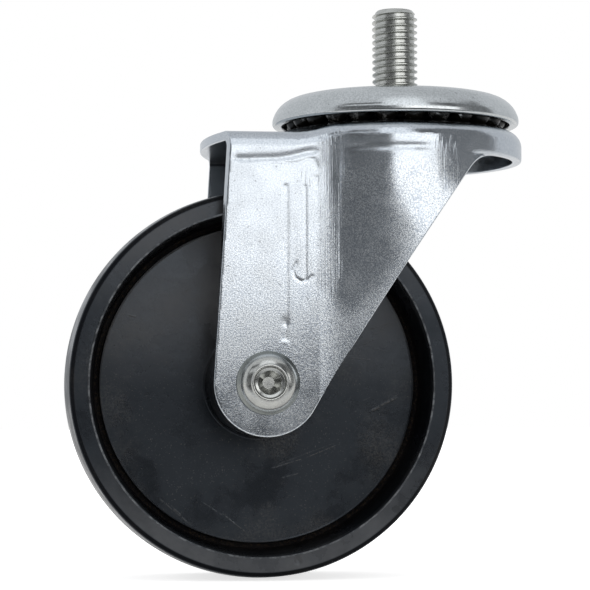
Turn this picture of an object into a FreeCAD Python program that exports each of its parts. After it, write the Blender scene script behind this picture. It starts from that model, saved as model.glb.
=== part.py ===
"""Swivel castor: threaded stud, ball-race cap, pressed steel fork and a plastic wheel."""
import FreeCAD, Part
import math
import os

from FreeCAD import Vector

# Millimetres. The origin is on the stud's axis, on the cap's flat top face. +Z is up along the stud.
# The wheel trails towards -X, and its axle runs along Y.

# Stud: one bolt whose head is under the swivel bearing
stud_radius = 6.0
shank_step = 0.25
stud_length = 23.7
stud_chamfer = 1.2
stud_head_across_flats = 18.0
stud_head_height = 6.5
stud_head_chamfer = 0.6
bore_clearance = 0.05

# Cap: a domed washer that covers the upper ring of balls
cap_sheet = 2.5
cap_flat_radius = 26.1
cap_shoulder_radius = 6.5
cap_lip_drop = 0.9
cap_lip_rounding = 0.8

# Swivel bearing: an upper ring of balls under the cap, and a lower ring in a cup on the stud
race_clearance = 0.25
ball_spacing = 0.4
upper_ball_diameter = 6.35
upper_side_gap = 0.9
groove_depth = 0.35
lower_ball_diameter = 5.0
race_land = 0.5
cup_sheet = 2.5
cup_wall = 2.0
cup_ball_clearance = 0.3
cup_rim_gap = 1.5
cup_corner_radius = 2.2
spacer_wall = 2.35
spacer_clearance = 2.0

# Fork: one pressed sheet, round above the bearing, with two flat legs
fork_sheet = 2.5
fork_beyond_cap = 0.7
fork_edge_radius = 4.2
fork_neck_radius = 8.4
web_step = 2.8
step_margin = 1.4
step_run = 10.0
rim_depth = 8.3
leg_rear_offset = 9.5
leg_end_radius = 13.6
leg_front_angle = 31.6
leg_front_bow = 1.1
leg_front_top_reach = 14.0
leg_front_top_drop = 3.7
tongue_bulge = 5.0
tongue_side_run = 6.3
tongue_side_sweep = 1.75

# Wheel, moulded in one piece with its hub and rim
wheel_radius = 50.0
wheel_top_gap = 11.1
swivel_offset = 37.2
rim_half_width = 16.0
rim_thickness = 6.0
rim_draft = 1.5
shoulder_drop = 0.8
shoulder_radius = 2.4
groove_width = 1.4
groove_depth_in_disc = 1.2
disc_half_thickness = 3.1
disc_edge_draft = 0.2
hub_radius = 13.2
hub_foot_radius = 0.8
hub_stand_out = 7.5
hub_side_clearance = 0.3
running_clearance = 0.08
gate_mark_radius = 1.3
gate_mark_depth = 0.4
gate_mark_angle = -79.0

# Axle: a domed socket-head bolt through a sleeve, with a locking nut on the far side
axle_radius = 4.0
axle_clearance = 0.1
sleeve_wall = 1.9
bolt_head_radius = 8.0
bolt_head_height = 4.7
bolt_head_rim = 0.5
bolt_head_crown = 0.9
bolt_lip_radius = 4.45
socket_across_flats = 5.0
socket_depth = 3.0
socket_point_depth = 1.2
socket_point_radius = 1.1
axle_tip_past_nut = 1.6
axle_tip_chamfer = 0.7
nut_across_flats = 13.0
nut_height = 6.5
nut_chamfer = 0.4
nut_collar_inset = 0.2
lock_ring_height = 1.8
lock_ring_wall = 1.5

# Radii and levels worked out from the stack between the cap and the wheel
upper_ball_radius = upper_ball_diameter / 2
lower_ball_radius = lower_ball_diameter / 2
cap_outer_radius = cap_flat_radius + cap_shoulder_radius
cap_lip_z = -(cap_shoulder_radius + cap_lip_drop)
upper_pitch_radius = cap_outer_radius - cap_sheet - upper_side_gap - upper_ball_radius
upper_ball_z = -(cap_sheet + race_clearance + upper_ball_radius)
fork_round_radius = cap_outer_radius + fork_beyond_cap
fork_top_z = upper_ball_z - upper_ball_radius - race_clearance + groove_depth
fork_under_z = fork_top_z - fork_sheet
web_top_z = fork_top_z - web_step
rim_bottom_z = fork_top_z - rim_depth
step_start_radius = upper_pitch_radius + step_margin
shank_radius = stud_radius + shank_step
shank_bore = shank_radius + bore_clearance
spacer_radius = shank_bore + spacer_wall
pivot_hole_radius = spacer_radius + spacer_clearance
lower_pitch_radius = pivot_hole_radius + race_land + lower_ball_radius
lower_ball_z = fork_under_z - race_clearance - lower_ball_radius
cup_floor_z = lower_ball_z - lower_ball_radius - race_clearance
cup_under_z = cup_floor_z - cup_sheet
hub_half_length = rim_half_width + hub_stand_out
fork_inner_half = hub_half_length + hub_side_clearance
fork_outer_half = fork_inner_half + fork_sheet
sleeve_outer_radius = axle_radius + axle_clearance + sleeve_wall
axle_x = -swivel_offset
axle_z = web_top_z - fork_sheet - wheel_top_gap - wheel_radius
axle_centre = Vector(axle_x, 0, axle_z)
below_all = axle_z - leg_end_radius - wheel_radius
half_way = math.sqrt(0.5)
on_wall_tolerance = 0.01
same_place = 1e-6


def arc(start, middle, end):
    return Part.Arc(start, middle, end).toShape()


def line(start, end):
    return Part.LineSegment(start, end).toShape()


def xz(x, z, y=0.0):
    return Vector(x, y, z)


def turned(edges):
    """Solid of revolution about Z from the edges of a closed half-section."""
    face = Part.Face(Part.Wire(Part.__sortEdges__(edges)))
    return face.revolve(Vector(0, 0, 0), Vector(0, 0, 1), 360)


def circle_edge(solid, radius, z):
    """The round edge of a turned solid that has this radius and level."""
    for edge in solid.Edges:
        level = abs(edge.CenterOfMass.z - z) < same_place
        if level and edge.Closed and abs(edge.BoundBox.XMax - radius) < on_wall_tolerance:
            return edge
    raise ValueError("no round edge at radius %.3f, level %.3f" % (radius, z))


def ring_section(inner, outer, low, high):
    corners = [xz(inner, low), xz(outer, low), xz(outer, high), xz(inner, high)]
    return [line(corners[i], corners[(i + 1) % 4]) for i in range(4)]


def hexagon_prism(across_flats, height, base, axis=Vector(0, 0, 1)):
    corner_radius = across_flats / math.sqrt(3)
    turns = [math.radians(60 * i) for i in range(7)]
    points = [Vector(corner_radius * math.cos(turn), corner_radius * math.sin(turn), 0) for turn in turns]
    prism = Part.Face(Part.makePolygon(points)).extrude(Vector(0, 0, height))
    prism.Placement = FreeCAD.Placement(base, FreeCAD.Rotation(Vector(0, 0, 1), axis))
    return prism


def chamfered_hexagon(across_flats, height, base, axis, chamfer):
    """Hexagon whose corners are turned off at its far end, as on a nut or a bolt head."""
    outer = across_flats / math.sqrt(3)
    blank = Part.makeCylinder(outer, height - chamfer, Vector(0, 0, 0))
    crown = Part.makeCone(outer, outer - 2 * chamfer, chamfer, Vector(0, 0, height - chamfer))
    turned_blank = blank.fuse(crown).removeSplitter()
    turned_blank.Placement = FreeCAD.Placement(base, FreeCAD.Rotation(Vector(0, 0, 1), axis))
    return hexagon_prism(across_flats, height, base, axis).common(turned_blank)


# Stud, cap and the inside of the swivel bearing

def threaded_stud():
    thread = Part.makeCylinder(stud_radius, stud_length)
    thread = thread.makeChamfer(stud_chamfer, [circle_edge(thread, stud_radius, stud_length)])
    seat = xz(0, cup_under_z)
    shank = Part.makeCylinder(shank_radius, -cup_under_z, seat)
    down = Vector(0, 0, -1)
    head = chamfered_hexagon(stud_head_across_flats, stud_head_height, seat, down, stud_head_chamfer)
    return thread.fuse([shank, head]).removeSplitter()


def top_cap():
    centre = xz(cap_flat_radius, -cap_shoulder_radius)
    inner_arc_radius = cap_shoulder_radius - cap_sheet
    bore = shank_bore
    inner = cap_outer_radius - cap_sheet
    edges = [
        line(xz(bore, 0), xz(cap_flat_radius, 0)),
        arc(xz(cap_flat_radius, 0),
            centre + xz(cap_shoulder_radius * half_way, cap_shoulder_radius * half_way),
            xz(cap_outer_radius, -cap_shoulder_radius)),
        line(xz(cap_outer_radius, -cap_shoulder_radius), xz(cap_outer_radius, cap_lip_z)),
        line(xz(cap_outer_radius, cap_lip_z), xz(inner, cap_lip_z)),
        line(xz(inner, cap_lip_z), xz(inner, -cap_shoulder_radius)),
        arc(xz(inner, -cap_shoulder_radius),
            centre + xz(inner_arc_radius * half_way, inner_arc_radius * half_way),
            xz(cap_flat_radius, -cap_sheet)),
        line(xz(cap_flat_radius, -cap_sheet), xz(bore, -cap_sheet)),
        line(xz(bore, -cap_sheet), xz(bore, 0)),
    ]
    cap = turned(edges)
    return cap.makeFillet(cap_lip_rounding, [circle_edge(cap, cap_outer_radius, cap_lip_z)])


def king_spacer():
    return turned(ring_section(shank_bore, spacer_radius, cup_floor_z, -cap_sheet))


def lower_race_cup():
    inner = lower_pitch_radius + lower_ball_radius + cup_ball_clearance
    outer = inner + cup_wall
    rim_z = fork_under_z - cup_rim_gap
    cup = turned(ring_section(shank_bore, outer, cup_under_z, rim_z))
    cup = cup.makeFillet(cup_corner_radius, [circle_edge(cup, outer, cup_under_z)])
    bowl = turned(ring_section(0, inner, cup_floor_z, rim_z + cup_wall))
    return cup.cut(bowl.makeFillet(cup_corner_radius, [circle_edge(bowl, inner, cup_floor_z)]))


def ball_ring(pitch_radius, ball_radius, z):
    """Balls side by side round the stud, as many as the ring holds with a little space between them."""
    count = math.floor(2 * math.pi * pitch_radius / (2 * ball_radius + ball_spacing))
    balls = []
    for i in range(count):
        turn = 2 * math.pi * i / count
        centre = xz(pitch_radius * math.cos(turn), z, pitch_radius * math.sin(turn))
        balls.append(Part.makeSphere(ball_radius, centre))
    return balls


# Fork

def plan_sizes(inset):
    """Radius of the round front, half-width of the channel, and the neck arc between them."""
    radius = fork_round_radius - inset
    half = fork_outer_half - inset
    neck = fork_neck_radius + inset
    centre = Vector(-math.sqrt((radius + neck) ** 2 - (half + neck) ** 2), half + neck, 0)
    return radius, half, neck, centre


def keyhole_plan(inset):
    """Plan outline: a circle about the stud that necks into a straight channel towards the rear."""
    radius, half, neck, centre = plan_sizes(inset)
    centre_x = centre.x
    touch_x = centre.x * radius / (radius + neck)
    touch_y = centre.y * radius / (radius + neck)
    bisector = Vector(touch_x, touch_y, 0) - centre + Vector(0, -neck, 0)
    bisector.normalize()
    middle = centre + bisector * neck
    rear_x = axle_x - wheel_radius
    edges = [
        arc(Vector(touch_x, touch_y, 0), Vector(radius, 0, 0), Vector(touch_x, -touch_y, 0)),
        arc(Vector(touch_x, -touch_y, 0), Vector(middle.x, -middle.y, 0), Vector(centre_x, -half, 0)),
        line(Vector(centre_x, -half, 0), Vector(rear_x, -half, 0)),
        line(Vector(rear_x, -half, 0), Vector(rear_x, half, 0)),
        line(Vector(rear_x, half, 0), Vector(centre_x, half, 0)),
        arc(Vector(centre_x, half, 0), middle, Vector(touch_x, touch_y, 0)),
    ]
    return Part.Wire(Part.__sortEdges__(edges))


def stepped_top(drop):
    """Body under the pressed top: flat over the bearing, then a step down to the web. Its seam is at the rear."""
    high = fork_top_z - drop
    low = web_top_z - drop
    reach = 2 * wheel_radius + swivel_offset
    half_run = step_run / 2
    half_step = web_step / 2
    blend = (half_run ** 2 + half_step ** 2) / (2 * half_step)
    quarter = math.asin(half_run / blend) / 2
    along = blend * math.sin(quarter)
    down = blend * (1 - math.cos(quarter))
    mid = xz(step_start_radius + half_run, high - half_step)
    upper = xz(step_start_radius + along, high - down)
    lower = xz(step_start_radius + step_run - along, low + down)
    edges = [
        line(xz(0, below_all), xz(0, high)),
        line(xz(0, high), xz(step_start_radius, high)),
        arc(xz(step_start_radius, high), upper, mid),
        arc(mid, lower, xz(step_start_radius + step_run, low)),
        line(xz(step_start_radius + step_run, low), xz(reach, low)),
        line(xz(reach, low), xz(reach, below_all)),
        line(xz(reach, below_all), xz(0, below_all)),
    ]
    body = turned(edges)
    body.rotate(Vector(0, 0, 0), Vector(0, 0, 1), 180)
    return body


def pressed_body(inset):
    """Outside of the pressing, or its inside where inset is the sheet thickness."""
    plan = keyhole_plan(inset)
    plan.translate(xz(0, below_all))
    block = Part.Face(plan).extrude(xz(0, -below_all))
    body = block.common(stepped_top(inset))
    below_top = web_top_z - inset - fork_sheet / 2
    shoulder = [edge for edge in body.Edges if edge.BoundBox.ZMin > below_top and on_plan_wall(edge, inset)]
    return body.makeFillet(fork_edge_radius - inset, shoulder)


def on_plan_wall(edge, inset):
    """True for an edge that runs along the outline of the plan."""
    radius, half, neck, centre = plan_sizes(inset)
    first, last = edge.ParameterRange
    for share in (0.2, 0.5, 0.8):
        point = edge.valueAt(first + (last - first) * share)
        from_round = abs(math.hypot(point.x, point.y) - radius)
        from_channel = abs(abs(point.y) - half)
        from_neck = abs(math.hypot(point.x - centre.x, abs(point.y) - centre.y) - neck)
        if min(from_round, from_channel, from_neck) > on_wall_tolerance:
            return False
    return True


def leg_rear_line():
    """Top of a leg's rear edge, the point where it meets the round end, and that point's angle about the axle."""
    top = xz(axle_x - leg_rear_offset, web_top_z - fork_edge_radius)
    to_top = top - axle_centre
    angle = math.atan2(to_top.z, to_top.x) + math.acos(leg_end_radius / to_top.Length)
    touch = axle_centre + xz(math.cos(angle), math.sin(angle)) * leg_end_radius
    return top, touch, angle


def side_outline():
    """Side view of the fork: legs that taper to the axle, and the round rim in front."""
    axle = axle_centre
    rear_top, rear_touch, rear_angle = leg_rear_line()
    front_angle = -math.radians(leg_front_angle)
    front_touch = axle + xz(math.cos(front_angle), math.sin(front_angle)) * leg_end_radius
    front_top = xz(leg_front_top_reach, rim_bottom_z - leg_front_top_drop)
    chord = front_top - front_touch
    to_rear = xz(-chord.z, chord.x)
    to_rear.normalize()
    bow = front_touch + chord * 0.5 + to_rear * leg_front_bow
    end_slope = math.atan2(chord.z, chord.x) - 2 * math.atan(2 * leg_front_bow / chord.Length)
    blend = leg_front_top_drop / (1 - math.cos(end_slope))
    rim_start = front_top + xz(blend * math.sin(end_slope), leg_front_top_drop)
    half_slope = end_slope / 2
    blend_middle = rim_start + xz(-blend * math.sin(half_slope), -blend * (1 - math.cos(half_slope)))
    beyond = 2 * fork_round_radius
    low_angle = (rear_angle - 2 * math.pi + front_angle) / 2
    end_middle = axle + xz(math.cos(low_angle), math.sin(low_angle)) * leg_end_radius
    edges = [
        line(xz(rear_top.x, 0), rear_top),
        line(rear_top, rear_touch),
        arc(rear_touch, end_middle, front_touch),
        arc(front_touch, bow, front_top),
        arc(front_top, blend_middle, rim_start),
        line(rim_start, xz(beyond, rim_bottom_z)),
        line(xz(beyond, rim_bottom_z), xz(beyond, 0)),
        line(xz(beyond, 0), xz(rear_top.x, 0)),
    ]
    face = Part.Face(Part.Wire(Part.__sortEdges__(edges)))
    face.translate(Vector(0, -2 * fork_round_radius, 0))
    return face.extrude(Vector(0, 4 * fork_round_radius, 0))


def rear_tongue():
    """Plan of the web behind the legs' rear edges, bowed to the rear."""
    side_x = axle_x - leg_rear_offset
    near_rear = Vector(side_x, -fork_outer_half, 0)
    far_rear = Vector(side_x, fork_outer_half, 0)
    near_front = Vector(0, -fork_outer_half, 0)
    far_front = Vector(0, fork_outer_half, 0)
    near_turn = near_rear + Vector(-tongue_side_sweep, tongue_side_run, 0)
    far_turn = far_rear + Vector(-tongue_side_sweep, -tongue_side_run, 0)
    edges = [
        line(near_rear, near_turn),
        arc(near_turn, Vector(side_x - tongue_bulge, 0, 0), far_turn),
        line(far_turn, far_rear),
        line(far_rear, far_front),
        line(far_front, near_front),
        line(near_front, near_rear),
    ]
    plan = Part.Face(Part.Wire(Part.__sortEdges__(edges)))
    plan.translate(xz(0, web_top_z - fork_edge_radius))
    return plan.extrude(xz(0, -web_top_z + fork_edge_radius))


def swept_rear_edge(side):
    """Wedge that carries the tongue's sweep down a leg: its rear edge goes further back on the inside."""
    top, touch, angle = leg_rear_line()
    wires = []
    for depth in (-fork_sheet, 2 * fork_sheet):
        y = side * (fork_outer_half - depth)
        sweep = xz(-tongue_side_sweep / tongue_side_run * depth, 0)
        inside = xz(fork_sheet, 0)
        corners = [top + sweep, touch, touch + inside, top + inside]
        corners = [xz(corner.x, corner.z, y) for corner in corners]
        wires.append(Part.makePolygon(corners + corners[:1]))
    return Part.makeLoft(wires, True, True)


def fork():
    sheet = pressed_body(0.0).cut(pressed_body(fork_sheet))
    body = sheet.common(side_outline().fuse(rear_tongue()))
    rear_edges = [sheet.common(swept_rear_edge(side)) for side in (-1, 1)]
    body = body.fuse(rear_edges).removeSplitter()
    pivot = Part.makeCylinder(pivot_hole_radius, -below_all, xz(0, below_all))
    body = body.cut(pivot)
    ball_path = Part.makeTorus(upper_pitch_radius, upper_ball_radius + race_clearance, xz(0, upper_ball_z))
    body = body.cut(ball_path)
    hole_start = xz(axle_x, axle_z, -2 * fork_outer_half)
    hole = Part.makeCylinder(axle_radius + axle_clearance, 4 * fork_outer_half, hole_start, Vector(0, 1, 0))
    return body.cut(hole)


# Wheel and axle

def about_axle(edges):
    """Turn a half-section about the axle. It is drawn with the radius along X and the axle along Z."""
    solid = turned(edges)
    solid.Placement = FreeCAD.Placement(axle_centre, FreeCAD.Rotation(Vector(0, 0, 1), Vector(0, 1, 0)))
    return solid


def wheel():
    shoulder_x = wheel_radius - shoulder_drop
    face_x = shoulder_x - shoulder_radius
    rim_inner_radius = wheel_radius - rim_thickness
    rim_foot_radius = rim_inner_radius - rim_draft
    disc_radius = rim_foot_radius - groove_width
    groove_floor = disc_half_thickness - groove_depth_in_disc
    bore = sleeve_outer_radius + running_clearance
    corner_centre = xz(face_x, rim_half_width - shoulder_radius)
    corner = corner_centre + xz(shoulder_radius * half_way, shoulder_radius * half_way)
    shoulder = xz(shoulder_x, rim_half_width - shoulder_radius)
    section = [
        xz(bore, hub_half_length),
        xz(hub_radius, hub_half_length),
        xz(hub_radius + hub_foot_radius, disc_half_thickness),
        xz(disc_radius, disc_half_thickness),
        xz(disc_radius + disc_edge_draft, groove_floor),
        xz(rim_foot_radius, groove_floor),
        xz(rim_inner_radius, rim_half_width),
        xz(face_x, rim_half_width),
    ]
    edges = []
    for side in (1, -1):
        points = [xz(point.x, side * point.z) for point in section]
        edges += [line(points[i], points[i + 1]) for i in range(len(points) - 1)]
        edges.append(arc(points[-1], xz(corner.x, side * corner.z), xz(shoulder.x, side * shoulder.z)))
    edges.append(arc(shoulder, xz(wheel_radius, 0), xz(shoulder.x, -shoulder.z)))
    edges.append(line(section[0], xz(bore, -hub_half_length)))
    mark_reach = (rim_inner_radius + face_x) / 2
    mark_turn = math.radians(gate_mark_angle)
    mark_x = axle_x + mark_reach * math.cos(mark_turn)
    mark_z = axle_z + mark_reach * math.sin(mark_turn)
    face = xz(mark_x, mark_z, -rim_half_width)
    mark = Part.makeCone(gate_mark_radius, gate_mark_radius / 2, gate_mark_depth, face, Vector(0, 1, 0))
    return about_axle(edges).cut(mark)


def axle_sleeve():
    bore = axle_radius + axle_clearance
    return about_axle(ring_section(bore, sleeve_outer_radius, -fork_inner_half, fork_inner_half))


def axle_bolt():
    head_z = fork_outer_half
    tip_z = -(fork_outer_half + nut_height + lock_ring_height + axle_tip_past_nut)
    top = head_z + bolt_head_height
    rim = head_z + bolt_head_rim
    dome_middle = xz(
        (bolt_head_radius + bolt_lip_radius) / 2 + bolt_head_crown * half_way,
        (rim + top) / 2 + bolt_head_crown * half_way,
    )
    edges = [
        line(xz(0, tip_z), xz(axle_radius - axle_tip_chamfer, tip_z)),
        line(xz(axle_radius - axle_tip_chamfer, tip_z), xz(axle_radius, tip_z + axle_tip_chamfer)),
        line(xz(axle_radius, tip_z + axle_tip_chamfer), xz(axle_radius, head_z)),
        line(xz(axle_radius, head_z), xz(bolt_head_radius, head_z)),
        line(xz(bolt_head_radius, head_z), xz(bolt_head_radius, rim)),
        arc(xz(bolt_head_radius, rim), dome_middle, xz(bolt_lip_radius, top)),
        line(xz(bolt_lip_radius, top), xz(0, top)),
        line(xz(0, top), xz(0, tip_z)),
    ]
    bolt = turned(edges)
    socket = hexagon_prism(socket_across_flats, socket_depth, xz(0, top - socket_depth))
    point_base = xz(0, top - socket_depth - socket_point_depth)
    point = Part.makeCone(socket_point_radius, socket_across_flats / 2, socket_point_depth, point_base)
    bolt = bolt.cut(socket.fuse(point))
    bolt.Placement = FreeCAD.Placement(axle_centre, FreeCAD.Rotation(Vector(0, 0, 1), Vector(0, -1, 0)))
    return bolt


def axle_nut():
    far = Vector(0, 1, 0)
    base = xz(axle_x, axle_z, fork_outer_half)
    nut = chamfered_hexagon(nut_across_flats, nut_height, base, far, nut_chamfer)
    end = base + far * nut_height
    collar = Part.makeCylinder(nut_across_flats / 2 - nut_collar_inset, lock_ring_height, end, far)
    seat = Part.makeCylinder(axle_radius + lock_ring_wall, lock_ring_height, end, far)
    bore = Part.makeCylinder(axle_radius + bore_clearance, 2 * nut_height, base, far)
    return nut.fuse(collar.cut(seat)).removeSplitter().cut(bore)


def nut_lock_ring():
    base = fork_outer_half + nut_height
    return about_axle(ring_section(axle_radius, axle_radius + lock_ring_wall, base, base + lock_ring_height))


def export(name, shape):
    solids = shape.Solids
    print(name, "solids", len(solids), "valid", shape.isValid(), "volume", round(shape.Volume, 1))
    if len(solids) == 1:
        shape = solids[0]
    shape.exportStep("parts/" + name + ".step")


def main():
    os.makedirs("parts", exist_ok=True)
    pieces = {
        "threaded_stud": threaded_stud(),
        "top_cap": top_cap(),
        "king_spacer": king_spacer(),
        "lower_race_cup": lower_race_cup(),
        "fork": fork(),
        "wheel": wheel(),
        "axle_sleeve": axle_sleeve(),
        "axle_bolt": axle_bolt(),
        "axle_nut": axle_nut(),
        "nut_lock_ring": nut_lock_ring(),
    }
    for i, ball in enumerate(ball_ring(upper_pitch_radius, upper_ball_radius, upper_ball_z)):
        pieces["upper_ball_%02d" % (i + 1)] = ball
    for i, ball in enumerate(ball_ring(lower_pitch_radius, lower_ball_radius, lower_ball_z)):
        pieces["lower_ball_%02d" % (i + 1)] = ball
    for name, shape in pieces.items():
        export(name, shape)


main()
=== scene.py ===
# Swivel castor in a white studio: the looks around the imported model.
# Meshes are drawn in millimetres in the model's own frame and become metres when they are finished.
import math

import bmesh
import bpy
from mathutils import Matrix, Vector, noise


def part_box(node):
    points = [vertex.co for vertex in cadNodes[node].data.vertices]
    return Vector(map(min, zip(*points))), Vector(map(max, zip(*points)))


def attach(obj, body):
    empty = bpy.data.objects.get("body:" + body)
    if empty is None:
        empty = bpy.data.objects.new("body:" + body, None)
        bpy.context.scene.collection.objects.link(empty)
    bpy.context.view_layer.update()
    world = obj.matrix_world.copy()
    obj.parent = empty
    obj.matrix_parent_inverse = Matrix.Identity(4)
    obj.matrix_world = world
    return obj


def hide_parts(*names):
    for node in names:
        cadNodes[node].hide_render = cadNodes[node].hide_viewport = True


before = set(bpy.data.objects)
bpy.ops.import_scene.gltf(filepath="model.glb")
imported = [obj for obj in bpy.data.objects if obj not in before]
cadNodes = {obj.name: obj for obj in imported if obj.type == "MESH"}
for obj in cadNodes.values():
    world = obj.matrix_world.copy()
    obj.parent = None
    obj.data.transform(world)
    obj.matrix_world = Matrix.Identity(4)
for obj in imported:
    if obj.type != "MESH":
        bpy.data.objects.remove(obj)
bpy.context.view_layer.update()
mm = 0.001
print("frame loaded:", len(cadNodes), "nodes")


def boxMm(node):
    low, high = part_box(node)
    return low / mm, high / mm


# places that the pieces are worked out from
wheelLow, wheelHigh = boxMm("wheel")
capLow, capHigh = boxMm("top_cap")
forkHigh, studHigh, boltHigh, sleeveHigh = (
    boxMm(node)[1] for node in ("fork", "threaded_stud", "axle_bolt", "axle_sleeve"))
axle = (wheelLow + wheelHigh) / 2
axle.y = 0
forkSheet = 2.5
legFace = sleeveHigh.y + forkSheet
rimHeight = 8.3
rimBottom = forkHigh.z - rimHeight


# camera, at the photograph's angle

view = {
    "place": (-100.24, -557.4, -81.81),
    "yaw": 0.130752,
    "pitch": 0.052968,
    "roll": -0.0026995,
    "focalPixels": 2142.0,
    "pictureWidth": 590,
}


def addCamera():
    yaw, pitch, roll = view["yaw"], view["pitch"], view["roll"]
    ahead = Vector((math.sin(yaw) * math.cos(pitch), math.cos(yaw) * math.cos(pitch), math.sin(pitch)))
    level = Vector((math.cos(yaw), -math.sin(yaw), 0))
    upright = level.cross(ahead)
    right = level * math.cos(roll) + upright * math.sin(roll)
    up = upright * math.cos(roll) - level * math.sin(roll)
    lens = bpy.data.cameras.new("camera")
    lens.sensor_width = 36
    lens.lens = view["focalPixels"] / view["pictureWidth"] * lens.sensor_width
    lens.clip_start = 0.05
    lens.clip_end = 20
    camera = bpy.data.objects.new("camera", lens)
    turn = Matrix((right, up, -ahead)).transposed().to_4x4()
    camera.matrix_world = Matrix.Translation(Vector(view["place"]) * mm) @ turn
    bpy.context.scene.collection.objects.link(camera)
    bpy.context.scene.camera = camera


# nodes of a material: each input is a value or another node's output

def addNode(tree, kind, inputs=None, **settings):
    node = tree.nodes.new(kind)
    for name, value in settings.items():
        setattr(node, name, value)
    for socket, value in (inputs or {}).items():
        if isinstance(value, bpy.types.NodeSocket):
            tree.links.new(value, node.inputs[socket])
        else:
            node.inputs[socket].default_value = value
    return node


def calc(tree, operation, first, second=0.0, clamp=False):
    node = addNode(tree, "ShaderNodeMath", {0: first, 1: second}, operation=operation, use_clamp=clamp)
    return node.outputs[0]


def vectorCalc(tree, operation, inputs):
    return addNode(tree, "ShaderNodeVectorMath", inputs, operation=operation).outputs[
        "Value" if operation in ("DISTANCE", "DOT_PRODUCT") else "Vector"]


def turnVector(tree, vector, angle, axis):
    node = addNode(tree, "ShaderNodeVectorRotate", {"Vector": vector, "Angle": angle}, rotation_type=axis)
    return node.outputs[0]


def plus(tree, first, second, clamp=False):
    return calc(tree, "ADD", first, second, clamp)


def minus(tree, first, second):
    return calc(tree, "SUBTRACT", first, second)


def times(tree, first, *others):
    for other in others:
        first = calc(tree, "MULTIPLY", first, other)
    return first


def distance(tree, first, second):
    return calc(tree, "SQRT", plus(tree, times(tree, first, first), times(tree, second, second)))


def axesOf(tree, place):
    return addNode(tree, "ShaderNodeSeparateXYZ", {0: place}).outputs


def spread(tree, value, low, high, start=0.0, end=1.0):
    # smooth step of a value from low..high to start..end
    node = addNode(tree, "ShaderNodeMapRange",
                   {"Value": value, "From Min": low, "From Max": high, "To Min": start, "To Max": end},
                   interpolation_type="SMOOTHSTEP")
    return node.outputs["Result"]


def window(tree, value, low, high, soft):
    # 1 between low and high, fading at both ends
    return times(tree, spread(tree, value, low - soft, low + soft), spread(tree, value, high + soft, high - soft))


def grain(tree, place, size, detail=2.0, roughness=0.5, stretch=(1, 1, 1)):
    # noise whose features are about this many millimetres wide
    scaled = addNode(tree, "ShaderNodeMapping", {"Vector": place, "Scale": tuple(s / size for s in stretch)})
    node = addNode(tree, "ShaderNodeTexNoise",
                   {"Vector": scaled.outputs[0], "Scale": 1.0, "Detail": detail, "Roughness": roughness})
    return node.outputs["Fac"]


def blendColour(tree, share, first, second):
    inputs = {"Factor": share}
    for slot, value in ((6, first), (7, second)):
        inputs[slot] = value if isinstance(value, bpy.types.NodeSocket) else (*value, 1)
    return addNode(tree, "ShaderNodeMix", inputs, data_type="RGBA").outputs[2]


def blendValue(tree, share, first, second):
    return addNode(tree, "ShaderNodeMix", {"Factor": share, 2: first, 3: second}, data_type="FLOAT").outputs[0]


def fromAxle(tree, place):
    return addNode(tree, "ShaderNodeMapping", {"Vector": place, "Location": tuple(-axle)}).outputs[0]


def newMaterial(name, **shaderSettings):
    material = bpy.data.materials.new(name)
    material.use_nodes = True
    tree = material.node_tree
    shader = tree.nodes["Principled BSDF"]
    for socket, value in shaderSettings.items():
        shader.inputs[socket.replace("_", " ")].default_value = value
    metres = addNode(tree, "ShaderNodeTexCoord").outputs["Object"]
    place = vectorCalc(tree, "SCALE", {0: metres, "Scale": 1 / mm})
    return material, tree, shader, place


def plug(tree, shader, **sockets):
    for socket, value in sockets.items():
        tree.links.new(value, shader.inputs[socket.replace("_", " ")])


def bump(tree, height, depth, below=None):
    inputs = {"Height": height, "Distance": depth * mm, "Strength": 1.0}
    if below is not None:
        inputs["Normal"] = below
    return addNode(tree, "ShaderNodeBump", inputs).outputs["Normal"]


# zinc plate on pressed and turned steel

zincLooks = {
    "fork": {"pale": (0.76, 0.79, 0.81), "dark": (0.42, 0.46, 0.51), "roughness": (0.17, 0.25),
             "speckle": 0.36, "speckleDepth": 0.020, "patch": 7.0, "patchShare": 0.18, "pits": 0.25,
             "coarserDown": (-20.0, -58.0), "shareAbove": 0.30, "toneAbove": 0.40,
             "roundFrom": (-22.0, -17.0), "roundBelow": (-15.0, -24.0)},
    "cap": {"pale": (0.64, 0.665, 0.675), "dark": (0.52, 0.545, 0.55), "roughness": (0.17, 0.24),
            "speckle": 0.45, "speckleDepth": 0.010, "patch": 5.0, "patchShare": 0.25, "pits": 0.55},
    "stud": {"pale": (0.62, 0.625, 0.595), "dark": (0.46, 0.465, 0.44), "roughness": (0.20, 0.30),
             "speckle": 0.30, "speckleDepth": 0.004, "patch": 2.0, "patchShare": 0.40, "pits": 0.30},
    "bolt": {"pale": (0.58, 0.585, 0.555), "dark": (0.46, 0.465, 0.45), "roughness": (0.18, 0.26),
             "speckle": 0.35, "speckleDepth": 0.002, "patch": 2.5, "patchShare": 0.50, "pits": 0.15},
}

# what all the zinc has: edges of the tone's and the pits' noise, size, depth and colour of the pits
zincGrain = {"tone": (0.38, 0.62), "patch": (0.3, 0.7), "pit": (0.66, 0.72), "pitSize": 0.9, "pitDepth": -0.03,
             "pitColour": (0.10, 0.105, 0.11)}


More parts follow.
